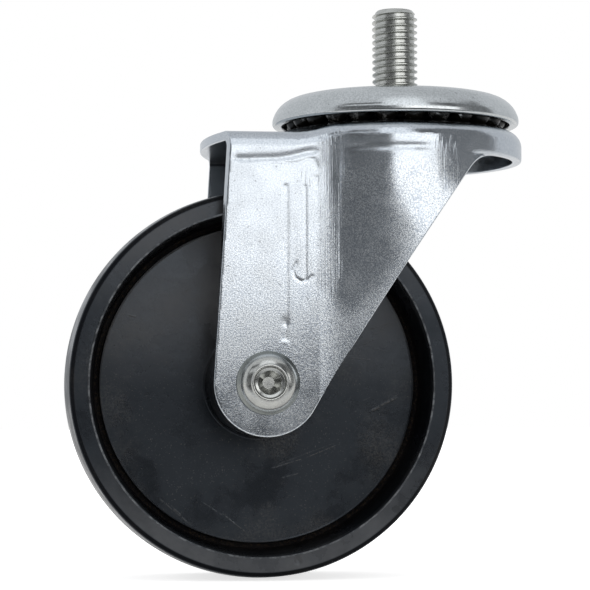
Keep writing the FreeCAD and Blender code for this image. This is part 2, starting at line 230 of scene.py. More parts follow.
def zincBase(name, look, turn=None):
    material, tree, shader, place = newMaterial(name, Metallic=1.0)
    turned = turn(tree, place) if turn else None
    patches = grain(tree, place, look["patch"], detail=3.0)
    fine = grain(tree, place, look["speckle"], detail=2.0, roughness=0.6)
    tone = plus(tree, times(tree, patches, look["patchShare"]), times(tree, fine, 1 - look["patchShare"]))
    tone = spread(tree, tone, *zincGrain["tone"])
    if "coarserDown" in look:
        # the leg's plating is smoother at the top and more speckled further down, like all of the round's
        x, _, z = axesOf(tree, place)
        down = spread(tree, z, *look["coarserDown"], look["shareAbove"], 1.0)
        onRound = times(tree, spread(tree, x, *look["roundFrom"]), spread(tree, z, *look["roundBelow"]))
        down = calc(tree, "MAXIMUM", down, onRound)
        fine = times(tree, fine, down)
        tone = blendValue(tree, down, look["toneAbove"], tone)
    colour = blendColour(tree, tone, look["dark"], look["pale"])
    pitNoise = grain(tree, place, zincGrain["pitSize"], detail=3.0)
    pits = times(tree, spread(tree, pitNoise, *zincGrain["pit"]), look["pits"])
    colour = blendColour(tree, pits, colour, zincGrain["pitColour"])
    roughness = spread(tree, patches, *zincGrain["patch"], *look["roughness"])
    normal = bump(tree, fine, look["speckleDepth"], turned)
    normal = bump(tree, pits, zincGrain["pitDepth"], normal)
    plug(tree, shader, Base_Color=colour, Roughness=roughness, Normal=normal)
    return material, tree, shader, place, colour, normal


# dark grease film on the zinc by the balls, partly real grease and partly painted shade in the gap between cap and
# fork: reach from the swivel axis, and levels
zincGreaseAndShade = {
    "cap": {"reach": 30.4, "levels": (-9.0, -2.2)},
    "fork": {"reach": 29.4, "levels": (-13.5, -8.0)},
    "colour": (0.016, 0.014, 0.011), "raggedSize": 2.0, "ragged": 0.5, "edge": (0.3, -0.1), "levelEdge": 0.1,
    "metallic": 0.1,
}


def greasyShadedZinc(name, kind, turn=None):
    zone = zincGreaseAndShade[kind]
    material, tree, shader, place, colour, normal = zincBase(name, zincLooks[kind], turn)
    x, y, z = axesOf(tree, place)
    ragged = times(tree, grain(tree, place, zincGreaseAndShade["raggedSize"], detail=3.0), zincGreaseAndShade["ragged"])
    outer, inner = (zone["reach"] + edge for edge in zincGreaseAndShade["edge"])
    # painted shade: the film darkens the cap's underside and the fork's top inside the gap between cap and fork
    film = times(tree, spread(tree, plus(tree, distance(tree, x, y), ragged), outer, inner),
                 window(tree, z, *zone["levels"], zincGreaseAndShade["levelEdge"]))
    colour = blendColour(tree, film, colour, zincGreaseAndShade["colour"])
    metallic = spread(tree, film, 0, 1, 1.0, zincGreaseAndShade["metallic"])
    plug(tree, shader, Base_Color=colour, Metallic=metallic)
    return material, tree, shader, place, normal


# painted shade: the bolt head's steep flank is painted dull and darker than its dome, standing in for the shade
# between the head and the leg
boltFlankShade = {"radii": (7.0, 7.3), "share": 0.6, "colour": (0.17, 0.19, 0.175)}


def boltZinc():
    material, tree, shader, place, colour, _ = zincBase("boltZinc", zincLooks["bolt"])
    x, _, z = axesOf(tree, fromAxle(tree, place))
    # painted shade: darker colour on the flank ring next to the leg
    flank = times(tree, spread(tree, distance(tree, x, z), *boltFlankShade["radii"]), boltFlankShade["share"])
    colour = blendColour(tree, flank, colour, boltFlankShade["colour"])
    plug(tree, shader, Base_Color=colour)
    return material


# the pressing's round wall is not quite round and flattens downwards, which the sheen shows: places in mm,
# share of the wall's own turn that is kept and turn added in degrees, at the top and further down
wallTurn = {
    "neckEdge": -23.13, "neckRadius": 8.4, "roundEdge": -18.47, "roundRadius": 33.3,
    "levels": (-20.0, -38.0), "kept": (1.35, 0.42), "added": (8.0, -6.5), "front": (15.0, 8.0),
    "softLevels": (-36.0, -62.0), "keptBelow": 0.06,
    "spreadFrom": (-24.0, -36.0), "spreadTo": (-18.0, -13.0),
    "exactFrom": (-24.6, -23.7), "exactBelow": (-19.0, -22.0), "likeness": (0.93, 0.985),
}


def turnedWall(tree, place):
    w = wallTurn
    x, y, z = axesOf(tree, place)
    edgeSine = (w["roundEdge"] - w["neckEdge"]) / w["neckRadius"]
    pastNeck = calc(tree, "DIVIDE", minus(tree, x, w["neckEdge"]), w["neckRadius"])
    pastNeck = calc(tree, "MINIMUM", calc(tree, "MAXIMUM", pastNeck, 0.0), edgeSine)
    neckTurn = calc(tree, "ARCSINE", pastNeck)
    onRound = calc(tree, "DIVIDE", calc(tree, "MAXIMUM", x, w["roundEdge"]), w["roundRadius"])
    roundTurn = plus(tree, calc(tree, "ARCSINE", onRound), math.asin(-w["roundEdge"] / w["roundRadius"]))
    own = minus(tree, roundTurn, neckTurn)
    lower = spread(tree, z, *w["levels"])
    soft = spread(tree, z, *w["softLevels"])
    kept = blendValue(tree, soft, blendValue(tree, lower, *w["kept"]), w["keptBelow"])
    added = times(tree, blendValue(tree, lower, *w["added"]), math.pi / 180)
    start = blendValue(tree, soft, *w["spreadFrom"])
    end = blendValue(tree, soft, *w["spreadTo"])
    share = spread(tree, x, start, end)
    wanted = plus(tree, times(tree, own, kept), times(tree, added, share))
    change = times(tree, minus(tree, wanted, own), spread(tree, x, *w["front"]))
    side = calc(tree, "SIGN", y)
    angle = times(tree, change, times(tree, side, -1.0))
    normal = addNode(tree, "ShaderNodeNewGeometry").outputs["Normal"]
    rotated = turnVector(tree, normal, angle, "Z_AXIS")
    # below the crease the worked-out normal takes over, so that no facet shows
    exact = []
    for turn in (own, plus(tree, own, change)):
        exact.append(addNode(tree, "ShaderNodeCombineXYZ", {
            "X": calc(tree, "SINE", turn), "Y": times(tree, side, calc(tree, "COSINE", turn))}).outputs[0])
    likeness = vectorCalc(tree, "DOT_PRODUCT", {0: normal, 1: exact[0]})
    share = times(tree, spread(tree, likeness, *w["likeness"]),
                  times(tree, spread(tree, x, *w["exactFrom"]), spread(tree, z, *w["exactBelow"])))
    both = addNode(tree, "ShaderNodeMix", {"Factor": share, 4: rotated, 5: exact[1]}, data_type="VECTOR")
    return vectorCalc(tree, "NORMALIZE", {0: both.outputs[1]})


# lines that the press drew on the fork's sides: from and to along X, bottom and top, depth, width of a line
drawMarks = {
    "neckLines": {"span": (-24.2, -18.2), "levels": (-51.0, -13.6), "depth": 0.085, "width": 0.24},
    "softLines": {"span": (-30.5, -24.2), "levels": (-47.0, -24.0), "depth": 0.035, "width": 0.30},
    "frontLines": {"span": (4.4, 10.9), "levels": (-36.0, -15.6), "depth": 0.050, "width": 0.26},
}

# how far the ends and the sides of those lines wander: size of the noise, reach
drawWander = {"ends": (0.8, 16), "sides": (9.0, 2.4)}

# single grooves drawn downwards: place along X, half-width, bottom, top, depth
drawGrooves = [
    (-19.15, 0.42, -49.0, -20.5, 0.060),
    (-21.6, 0.30, -48.0, -24.0, 0.020),
    (6.4, 0.30, -33.0, -17.0, 0.020),
]


def wander(tree, place, size, reach, stretch):
    return times(tree, minus(tree, grain(tree, place, size, stretch=stretch), 0.5), reach)


def forkZinc():
    material, tree, shader, place, normal = greasyShadedZinc("forkZinc", "fork", turnedWall)
    x, _, z = axesOf(tree, place)
    xWandering = plus(tree, x, wander(tree, place, *drawWander["sides"], (0, 0, 1)))
    zWandering = plus(tree, z, wander(tree, place, *drawWander["ends"], (1, 0, 0)))
    for mark in drawMarks.values():
        bottom, top = mark["levels"]
        zone = times(tree, window(tree, xWandering, *mark["span"], 0.8),
                     times(tree, spread(tree, zWandering, bottom - 3, bottom + 5),
                           spread(tree, zWandering, top + 1, top - 1)))
        streaks = grain(tree, place, mark["width"], detail=3.0, roughness=0.65, stretch=(1, 0.0, 0.012))
        normal = bump(tree, times(tree, zone, streaks), mark["depth"], normal)
    for middle, half, bottom, top, depth in drawGrooves:
        across = spread(tree, calc(tree, "ABSOLUTE", minus(tree, x, middle)), half, 0.0)
        normal = bump(tree, times(tree, across, window(tree, z, bottom, top, 1.5)), -depth, normal)
    plug(tree, shader, Normal=normal)
    return material


# black moulded plastic, with dust in its groove, scratches on its disc and painted reflection on its rim and disc

wheelLook = {
    "black": (0.0036, 0.0042, 0.0058),
    "dust": (0.095, 0.086, 0.074),
    "flash": (0.16, 0.165, 0.17),
    "grooveBrown": (0.040, 0.028, 0.018),
    # painted reflection: the lighter colour laid on the rim's face and the upper disc
    "paintedReflection": (0.110, 0.108, 0.108),
    "tint": (0.78, 0.88, 1.0, 1),
    "roughness": (0.22, 0.42),
    "grooveRoughness": 0.3,
    "sheen": 0.55,
    "dullSheen": 0.04,
    # noises: size, detail, roughness
    "noises": {"clouds": (14.0, 5.0, 0.62), "specks": (0.42, 2.0, 0.7), "patches": (22.0, 4.0, 0.6),
               "dust": (0.6, 3.0, 0.7), "flash": (2.2, 4.0, 0.7), "fine": (0.25, 2.0, 0.5)},
    # radii, from and to
    "disc": (41.4, 40.8),
    "groove": (41.3, 42.3),
    "dullGroove": (41.3, 43.8),
    "flashLine": (44.0, 44.45),
    "rimFace": (44.4, 47.8),
    "dullShoulder": (47.95, 48.9),
    # painted reflection: levels from and to, seen from the axle, and share
    "rimPaintedReflection": (14, 42, 0.0, 0.58),
    "discPaintedReflection": (-4, 24, 0.0, 0.8),
    # depths of the relief
    "fineDepth": 0.006,
    "cloudDepth": 0.10,
    "grooveDepth": 0.25,
    "scratchDepth": 0.05,
}

# scratches on the near disc: from (x, z) to (x, z), width, strength
discScratches = [
    (-7.9, -82.9, 0.0, -78.7, 0.50, 0.9), (-6.3, -81.9, 0.4, -77.9, 0.14, 0.9),
    (-34.0, -97.4, -24.8, -94.7, 0.22, 0.9), (-24.8, -94.7, -15.6, -91.0, 0.20, 0.9),
    (-33.6, -96.9, -16.5, -90.6, 0.12, 0.5), (-31.1, -99.8, -26.2, -98.6, 0.2, 0.7),
    (-12.9, -68.5, -7.2, -69.1, 0.16, 0.8), (-8.6, -61.5, -1.7, -59.2, 0.14, 0.8),
    (-4.9, -61.3, 0.2, -58.6, 0.14, 0.7), (-7.3, -62.9, -3.3, -61.0, 0.14, 0.7),
    (-9.7, -65.2, -5.4, -63.4, 0.16, 0.6), (-70.8, -57.5, -68.7, -58.0, 0.3, 0.7),
    (-47.1, -108.4, -40.1, -114.0, 0.24, 0.8), (-52.3, -105.4, -45.8, -109.8, 0.16, 0.6),
    (-63.5, -104.4, -54.1, -112.2, 0.35, 0.5), (-60.0, -106.8, -56.9, -109.4, 0.4, 0.6),
    (-6.3, -78.3, -9.7, -79.9, 0.12, 0.5), (-2.2, -67.0, -7.0, -66.0, 0.12, 0.6),
    (-12.2, -88.5, -8.8, -84.3, 0.10, 0.4), (-57.0, -52.0, -52.5, -49.0, 0.12, 0.5),
]


def scratches(tree, place):
    mask = None
    for startX, startZ, endX, endZ, width, strength in discScratches:
        middle = Vector((startX + endX, 0, startZ + endZ)) * 0.5
        length = math.hypot(endX - startX, endZ - startZ)
        turn = math.atan2(endZ - startZ, endX - startX)
        shifted = vectorCalc(tree, "ADD", {0: place, 1: tuple(-middle)})
        x, _, z = axesOf(tree, turnVector(tree, shifted, turn, "Y_AXIS"))
        along = spread(tree, calc(tree, "ABSOLUTE", x), length / 2, length / 3)
        across = spread(tree, calc(tree, "ABSOLUTE", z), width, 0.0)
        one = times(tree, along, across, strength)
        mask = one if mask is None else calc(tree, "MAXIMUM", mask, one)
    return times(tree, mask, spread(tree, grain(tree, place, 0.8, detail=3.0), 0.35, 0.6))


def wheelPlastic():
    look = wheelLook
    material, tree, shader, place = newMaterial("wheelPlastic", Specular_Tint=look["tint"])
    x, _, z = axesOf(tree, fromAxle(tree, place))
    radius = distance(tree, x, z)
    inner, outer = look["groove"]
    inGroove = times(tree, spread(tree, radius, inner - 0.4, inner + 0.3),
                     spread(tree, radius, outer + 0.8, outer - 0.2))
    onDisc = spread(tree, radius, *look["disc"])
    clouds, specks, patches, dustGrain, flashGrain, fineGrain = (
        grain(tree, place, *settings) for settings in look["noises"].values())
    dusty = times(tree, spread(tree, patches, 0.46, 0.66), spread(tree, dustGrain, 0.34, 0.72, 0.02, 0.55))
    speckled = times(tree, spread(tree, specks, 0.64, 0.72), spread(tree, clouds, 0.40, 0.62, 0.35, 1.0))
    dust = times(tree, plus(tree, dusty, speckled, clamp=True), spread(tree, onDisc, 0, 1, 0.30, 1.0))
    scratched = scratches(tree, place)
    # painted reflection, a lighter colour standing in for sheen: on the rim's face above and below, on the disc's
    # upper part, uneven with the clouds
    rimPaintedReflection = times(tree, window(tree, radius, *look["rimFace"], 0.2),
                    spread(tree, calc(tree, "ABSOLUTE", z), *look["rimPaintedReflection"]))
    discPaintedReflection = times(tree, spread(tree, onDisc, 0, 1), spread(tree, z, *look["discPaintedReflection"]))
    paintedReflection = times(tree, plus(tree, rimPaintedReflection, discPaintedReflection), spread(tree, clouds, 0.32, 0.66, 0.55, 1.15))
    brown = times(tree, inGroove, spread(tree, specks, 0.50, 0.70, 0.10, 1.0))
    flash = times(tree, window(tree, radius, *look["flashLine"], 0.12),
                  spread(tree, flashGrain, 0.42, 0.62, 0.22, 1.0))
    colour = look["black"]
    for share, other in ((paintedReflection, "paintedReflection"), (dust, "dust"), (times(tree, scratched, 0.8), "dust"),
                         (brown, "grooveBrown"), (flash, "flash")):
        colour = blendColour(tree, share, colour, look[other])
    dull = calc(tree, "MAXIMUM", window(tree, radius, *look["dullShoulder"], 0.15),
                window(tree, radius, *look["dullGroove"], 0.2))
    roughness = plus(tree, spread(tree, clouds, 0.35, 0.65, *look["roughness"]),
                     times(tree, inGroove, look["grooveRoughness"]))
    normal = bump(tree, fineGrain, look["fineDepth"])
    normal = bump(tree, clouds, look["cloudDepth"], normal)
    normal = bump(tree, times(tree, inGroove, specks), look["grooveDepth"], normal)
    normal = bump(tree, scratched, look["scratchDepth"], normal)
    plug(tree, shader, Base_Color=colour, Roughness=roughness, Normal=normal,
         Specular_IOR_Level=spread(tree, dull, 0, 1, look["sheen"], look["dullSheen"]))
    return material


# grease, partly painted shade, and nylon: two tones, roughness, size and depth of the relief
dullLooks = {
    "greaseAndShade": {"tones": ((0.003, 0.003, 0.003), (0.016, 0.013, 0.009)), "roughness": 0.32, "lump": 1.6,
               "depth": 0.20},
    "nylon": {"tones": ((0.55, 0.58, 0.60), (0.72, 0.74, 0.75)), "roughness": 0.42, "cloud": 1.2, "fine": 0.3,
              "depth": 0.006},
}


def greaseAndShadeMaterial():
    look = dullLooks["greaseAndShade"]
    material, tree, shader, place = newMaterial("bearingGreaseAndShade", Roughness=look["roughness"])
    lumps = grain(tree, place, look["lump"], detail=3.0)
    # painted shade: the near-black grease tones keep the gap between cap and fork dark
    plug(tree, shader, Base_Color=blendColour(tree, lumps, *look["tones"]),
         Normal=bump(tree, lumps, look["depth"]))
    return material


def ringMaterial():
    look = dullLooks["nylon"]
    material, tree, shader, place = newMaterial("ringNylon", Roughness=look["roughness"])
    cloudy = grain(tree, place, look["cloud"], detail=3.0)
    plug(tree, shader, Base_Color=blendColour(tree, cloudy, *look["tones"]),
         Normal=bump(tree, grain(tree, place, look["fine"]), look["depth"]))
    return material


# bare steel with a broken film of dark grease or oil over it; on the balls the film is darker and covers more,
# partly painted shade in the gap between cap and fork
steelLooks = {
    "innerSteel": {"pale": (0.46, 0.47, 0.48), "film": (0.02, 0.018, 0.014), "roughness": (0.22, 0.40),
                   "share": (0.44, 0.54)},
    # painted shade: the balls' near-black film covers most of each ball, so that they read as shade in the gap
    "shadedBallSteel": {"pale": (0.55, 0.55, 0.54), "film": (0.008, 0.007, 0.005), "roughness": (0.22, 0.40),
                  "share": (0.32, 0.42)},
}


def steelMaterial(name):
    look = steelLooks[name]
    material, tree, shader, place = newMaterial(name)
    smears = grain(tree, place, 3.0, detail=4.0, roughness=0.6)
    share = spread(tree, smears, *look["share"])
    plug(tree, shader,
         Base_Color=blendColour(tree, share, look["pale"], look["film"]),
         Metallic=spread(tree, share, 0.0, 1.0, 1.0, 0.0),
         Roughness=spread(tree, smears, 0.3, 0.7, *look["roughness"]),
         Normal=bump(tree, grain(tree, place, 0.5, detail=2.0), 0.004))
    return material


# meshes

# distances in mm under which vertices are one, and the angle under which the solid's triangles are one face
meshCare = {"join": 0.002, "joinNode": 0.0005, "noLength": 0.0002, "flatAngle": 0.4}


def newObject(name, bm):
    mesh = bpy.data.meshes.new(name)
    bm.to_mesh(mesh)
    bm.free()
    made = bpy.data.objects.new(name, mesh)
    bpy.context.scene.collection.objects.link(made)
    return made


def finishPiece(name, bm, body, material, standsFor, sharpAngle=32, turnOut=True):
    bmesh.ops.remove_doubles(bm, verts=bm.verts, dist=meshCare["join"])
    if turnOut:
        bmesh.ops.recalc_face_normals(bm, faces=bm.faces)
    for face in bm.faces:
        face.smooth = True
    for edge in bm.edges:
        edge.smooth = len(edge.link_faces) == 2 and edge.calc_face_angle(0) < math.radians(sharpAngle)
    bmesh.ops.scale(bm, vec=(mm, mm, mm), verts=bm.verts)
    piece = newObject(name, bm)
    piece.data.materials.append(material)
    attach(piece, body)
    if standsFor:
        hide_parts(*standsFor)
    shading = piece.modifiers.new("evenShading", "WEIGHTED_NORMAL")
    shading.keep_sharp = True
    return piece


def meshOfNode(node):
    # the CAD solid's mesh in millimetres, with its loose triangles joined
    bm = bmesh.new()
    bm.from_mesh(cadNodes[node].data)
    bmesh.ops.scale(bm, vec=(1 / mm, 1 / mm, 1 / mm), verts=bm.verts)
    bmesh.ops.remove_doubles(bm, verts=bm.verts, dist=meshCare["joinNode"])
    bmesh.ops.dissolve_degenerate(bm, edges=bm.edges, dist=meshCare["noLength"])
    bmesh.ops.dissolve_limit(bm, angle_limit=math.radians(meshCare["flatAngle"]), verts=bm.verts, edges=bm.edges)
    return bm


def breakEdges(bm, width, angle=40, segments=2):
    edges = [edge for edge in bm.edges
             if len(edge.link_faces) == 2 and edge.calc_face_angle(0) > math.radians(angle)]
    bmesh.ops.bevel(bm, geom=edges, offset=width, offset_type="OFFSET", segments=segments, profile=0.5,
                    affect="EDGES", clamp_overlap=True, material=-1)


def roundCorners(corners, perArc=5):
    # closed outline from (radius, along, rounding) corners
    points = []
    for i, (radius, along, rounding) in enumerate(corners):
        here = Vector((radius, along))
        if rounding == 0:
            points.append(here)
            continue
        back = (Vector(corners[i - 1][:2]) - here).normalized()
        ahead = (Vector(corners[(i + 1) % len(corners)][:2]) - here).normalized()
        halfAngle = back.angle(ahead) / 2
        centre = here + (back + ahead).normalized() * (rounding / math.sin(halfAngle))
        start = here + back * (rounding / math.tan(halfAngle)) - centre
        turn = (math.pi - 2 * halfAngle) * (1 if back.cross(ahead) < 0 else -1)
        for k in range(perArc + 1):
            points.append(centre + Matrix.Rotation(turn * k / perArc, 2) @ start)
    return points


def lathe(outline, centre=(0, 0, 0), along=(0, 0, 1), steps=180, closed=True):
    bm = bmesh.new()
    along = Vector(along)
    outward = Vector((1, 0, 0))
    centre = Vector(centre)
    verts = [bm.verts.new(centre + outward * p[0] + along * p[1]) for p in outline]
    pairs = list(zip(verts, verts[1:])) + ([(verts[-1], verts[0])] if closed else [])
    edges = [bm.edges.new(pair) for pair in pairs]
    bmesh.ops.spin(bm, geom=verts + edges, cent=centre, axis=along, angle=2 * math.pi, steps=steps,
                   use_merge=True)
    bmesh.ops.remove_doubles(bm, verts=bm.verts, dist=meshCare["joinNode"])
    return bm


def joinShell(bm, other):
    mesh = bpy.data.meshes.new("shell")
    other.to_mesh(mesh)
    other.free()
    bm.from_mesh(mesh)
    bpy.data.meshes.remove(mesh)


# threaded stud: M12 x 1.75 rolled thread over the plain shank and hidden hexagon head

stud = {
    "radius": 6.0, "pitch": 1.75, "rootRadius": 5.2, "chamfer": 1.5, "tipRadius": 4.7, "stepsPerTurn": 64,
    "threadStart": -0.6, "phase": 0.19,
    # the ridge over one pitch: height over the root or under the crest, share of the pitch
    "rising": [(0.0, 0.0), (0.0, 0.22), (0.12, 0.26)],
    "crest": [(-0.15, 0.36), (0.0, 0.43), (0.0, 0.57), (-0.15, 0.64)],
    "falling": [(0.12, 0.74), (0.0, 0.78), (0.0, 1.0)],
}


def threadedStud(material):
    pitch, crest, root = stud["pitch"], stud["radius"], stud["rootRadius"]
    top = studHigh.z
    low = stud["threadStart"]
    ridge = [(start + height, share) for start, points in
             ((root, stud["rising"]), (crest, stud["crest"]), (root, stud["falling"])) for height, share in points]
    turns = math.ceil((top - low) / pitch) + 3
    steps = turns * stud["stepsPerTurn"]
    bm = bmesh.new()
    verts = [bm.verts.new((radius, 0, low + stud["phase"] + (share - 2) * pitch)) for radius, share in ridge]
    edges = [bm.edges.new(pair) for pair in zip(verts, verts[1:])]
    bmesh.ops.spin(bm, geom=verts + edges, cent=(0, 0, 0), axis=(0, 0, 1), angle=2 * math.pi * turns,
                   steps=steps, dvec=(0, 0, pitch / stud["stepsPerTurn"]), use_merge=False)
    bmesh.ops.remove_doubles(bm, verts=bm.verts, dist=meshCare["join"])
    slope = (crest - stud["tipRadius"]) / stud["chamfer"]
    for vert in bm.verts:
        limit = crest - max(0, vert.co.z - (top - stud["chamfer"])) * slope
        radius = math.hypot(vert.co.x, vert.co.y)
        if radius > limit:
            vert.co.x *= limit / radius
            vert.co.y *= limit / radius
    for level, outer in ((top, True), (low, False)):
        bmesh.ops.bisect_plane(bm, geom=bm.verts[:] + bm.edges[:] + bm.faces[:], plane_co=(0, 0, level),
                               plane_no=(0, 0, 1), clear_outer=outer, clear_inner=not outer)
        rim = [edge for edge in bm.edges if edge.is_boundary and abs(edge.verts[0].co.z - level) < 0.01]
        bmesh.ops.holes_fill(bm, edges=rim, sides=0)
    lower = meshOfNode("threaded_stud")
    bmesh.ops.bisect_plane(lower, geom=lower.verts[:] + lower.edges[:] + lower.faces[:], plane_co=(0, 0, low),
                           plane_no=(0, 0, 1), clear_outer=True)
    bmesh.ops.holes_fill(lower, edges=[edge for edge in lower.edges if edge.is_boundary], sides=0)
    breakEdges(lower, 0.15)
    joinShell(bm, lower)
    return finishPiece("stud_with_thread", bm, "stud_and_cap", material, ["threaded_stud"],
                       sharpAngle=50)


# domed cap over the upper balls

cap = {
    "bore": 6.3, "shoulder": 6.5, "sheet": 2.5, "flankTilt": 18, "flankBend": -5.7, "topRounding": 7.3,
    "flankRounding": 3.4, "lipRounding": 0.8, "innerRounding": 0.5,
}


def domedCap(material):
    radius, lip = capHigh.x, capLow.z
    inner = radius - cap["sheet"]
    flank = math.tan(math.radians(cap["flankTilt"]))
    bend = cap["flankBend"]
    corners = [
        (cap["bore"], 0, 0.3),
        (radius + flank * bend, 0, cap["topRounding"]),
        (radius, bend, cap["flankRounding"]),
        (radius, lip, cap["lipRounding"]),
        (inner, lip, cap["innerRounding"]),
        (inner, -cap["sheet"], cap["shoulder"] - cap["sheet"]),
        (cap["bore"], -cap["sheet"], 0.2),
    ]
    bm = lathe(roundCorners(corners, perArc=8), steps=200)
    return finishPiece("domed_cap", bm, "stud_and_cap", material, ["top_cap"])


# grease packed between the balls and the stud, near black so that the gap between cap and fork stays dark: real
# grease and painted shade

greaseAndShade = {"inner": 9.0, "outer": 22.0, "low": -8.4, "high": -2.7, "topRounding": 1.0, "lowRounding": 1.6,
          "lump": 0.5, "lumpBand": 2, "lumpsPerMm": 0.45}


def bearingGreaseAndShade(material):
    corners = [(greaseAndShade["inner"], greaseAndShade["high"], 0), (greaseAndShade["outer"], greaseAndShade["high"], greaseAndShade["topRounding"]),
               (greaseAndShade["outer"], greaseAndShade["low"], greaseAndShade["lowRounding"]), (greaseAndShade["inner"], greaseAndShade["low"], 0)]
    bm = lathe(roundCorners(corners), steps=120)
    for vert in bm.verts:
        radius = math.hypot(vert.co.x, vert.co.y)
        if radius > greaseAndShade["outer"] - greaseAndShade["lumpBand"]:
            push = 1 + greaseAndShade["lump"] * noise.noise(vert.co * greaseAndShade["lumpsPerMm"]) / radius
            vert.co.x *= push
            vert.co.y *= push
    return finishPiece("bearing_grease_and_shade", bm, "stud_and_cap", material, [])


# moulded wheel with its hub, groove, flash line and gate mark

wheel = {
    "bore": 6.08, "hub": 13.2, "hubFoot": 14.0, "disc": 3.1, "discEdge": 41.1, "grooveFloor": 1.9,
    "rimFoot": 42.5, "rimInner": 44.0, "rimHalf": 16.0, "faceEdge": 47.9, "shoulderFall": 1.3,
    "shoulderDrop": 0.8, "discLip": 0.16, "flashWidth": 0.5, "flashCrest": 0.18, "flashHeight": 0.30,
    # how ragged the flash is: mean, and height and frequency of its waves
    "ragged": 0.5, "raggedWaves": [(0.9, 0.55), (0.5, 2.1)],
    "gateAngle": -79.0, "gateReach": 45.6, "gateRadius": 1.25, "gateDepth": 0.45, "gateZone": 3.2, "gateCuts": 5,
    "steps": 300,
}


def mouldedWheel(material):
    w = wheel
    radius = (wheelHigh.z - wheelLow.z) / 2
    hubEnd = wheelHigh.y
    treadEdge = radius - w["shoulderDrop"]
    corners = []
    for side in (-1, 1):
        half = [
            (w["bore"], side * hubEnd, 0.25),
            (w["hub"], side * hubEnd, 0.4),
            (w["hubFoot"] - 0.25, side * (w["disc"] + 0.5), 0.1),
            (w["hubFoot"] + 0.35, side * w["disc"], 0.3),
            (w["discEdge"] - 0.5, side * w["disc"], 0.1),
            (w["discEdge"] - 0.2, side * (w["disc"] + w["discLip"]), 0.06),
            (w["discEdge"], side * (w["disc"] + 0.10), 0.06),
            (w["discEdge"] + 0.2, side * w["grooveFloor"], 0.15),
            (w["rimFoot"], side * w["grooveFloor"], 0.3),
            (w["rimInner"], side * (w["rimHalf"] + w["flashHeight"]), 0.06),
            (w["rimInner"] + w["flashCrest"], side * (w["rimHalf"] + w["flashHeight"]), 0.06),
            (w["rimInner"] + w["flashWidth"], side * w["rimHalf"], 0.1),
            (w["faceEdge"], side * w["rimHalf"], 0.12),
            (treadEdge - 0.05, side * (w["rimHalf"] - w["shoulderFall"]), 0.5),
        ]
        reach = w["rimHalf"] - w["shoulderFall"] - 0.9
        crown = [(radius - w["shoulderDrop"] * share ** 2, side * share * reach, 0) for share in (0.85, 0.6, 0.3)]
        corners += half + crown if side < 0 else [(radius, 0, 0)] + crown[::-1] + half[::-1]
    bm = lathe(roundCorners(corners, perArc=4), centre=axle, along=(0, 1, 0), steps=w["steps"])
    turn = math.radians(w["gateAngle"])
    gate = axle + Vector((math.cos(turn) * w["gateReach"], -w["rimHalf"], math.sin(turn) * w["gateReach"]))
    near = [edge for edge in bm.edges if all(
        (vert.co - gate).length < w["gateZone"] and abs(vert.co.y - gate.y) < 0.3 for vert in edge.verts)]
    bmesh.ops.subdivide_edges(bm, edges=near, cuts=w["gateCuts"], use_grid_fill=True)
    for vert in bm.verts:
        offAxle = vert.co - axle
        reach = math.hypot(offAxle.x, offAxle.z)
        over = abs(vert.co.y) - w["rimHalf"]
        if over > 0.01 and reach > w["rimInner"] - 0.5:
            ragged = w["ragged"] + sum(height * noise.noise(vert.co * often) for height, often in w["raggedWaves"])
            vert.co.y -= math.copysign(over * (1 - min(1, max(0, ragged))), vert.co.y)
        fromGate = (vert.co - gate).length
        if fromGate < w["gateRadius"] * 1.4 and vert.co.y < 0:
            vert.co.y += w["gateDepth"] * math.exp(-(fromGate / w["gateRadius"] * 1.5) ** 4)
    return finishPiece("moulded_wheel", bm, "rolling_wheel", material, ["wheel"])


# axle bolt with a domed head, a lip ring and a hexagon socket

boltShape = {
    "shaft": 4.0, "head": 8.0, "rim": 0.6, "height": 4.7, "shoulder": 7.1, "shoulderRise": 1.7,
    "lip": 4.5, "lipInner": 4.07, "crown": 0.55, "socket": 5.6, "socketDepth": 2.6, "pointDepth": 1.5,
    "pointRadius": 1.5, "turn": 33, "steps": 120,
}


def socketBolt(material):
    b = boltShape
    seat = legFace
    top = seat + b["height"]
    socket = b["socket"] / 2
    floor = top - b["socketDepth"]
    bottom = floor - b["pointDepth"]
    tip = -boltHigh.y
    start, end = Vector((b["shoulder"], seat + b["shoulderRise"])), Vector((b["lip"] + 0.25, top - 0.35))
    outward = Vector((end.y - start.y, start.x - end.x)).normalized()
    dome = []
    for k in range(9):
        share = k / 9
        dome.append((*(start.lerp(end, share) + outward * b["crown"] * 4 * share * (1 - share)), 0))
    corners = [(0, bottom, 0), (b["pointRadius"], bottom, 0), (socket, floor, 0), (socket, top - 1.0, 0)]
    corners += [(socket + 0.25, top - 0.75, 0.08), (b["lipInner"] - 0.35, top - 0.60, 0.2),
                (b["lipInner"], top, 0.08), (b["lip"], top, 0.12), (*end, 0.08)]
    corners += dome[::-1]
    corners += [(b["head"], seat + b["rim"], 0.3), (b["head"], seat, 0.15), (b["shaft"], seat, 0),
                (b["shaft"], tip + 0.7, 0), (b["shaft"] - 0.7, tip, 0), (0, tip, 0)]
    bm = lathe(roundCorners(corners, perArc=3), centre=axle, along=(0, -1, 0), steps=b["steps"], closed=False)
    for vert in bm.verts:
        offAxle = vert.co - axle
        reach = math.hypot(offAxle.x, offAxle.z)
        if abs(reach - socket) < 0.01 and -vert.co.y > floor - 0.01:
            turn = math.atan2(offAxle.z, offAxle.x) + math.radians(b["turn"])
            stretch = 1 / math.cos((turn % (math.pi / 3)) - math.pi / 6)
            vert.co.x = axle.x + offAxle.x * stretch
            vert.co.z = axle.z + offAxle.z * stretch
    return finishPiece("socket_bolt", bm, "swivel_fork", material, ["axle_bolt"], sharpAngle=35)


# pressed fork: the CAD sheet, cut finely where the press left dents and a crease

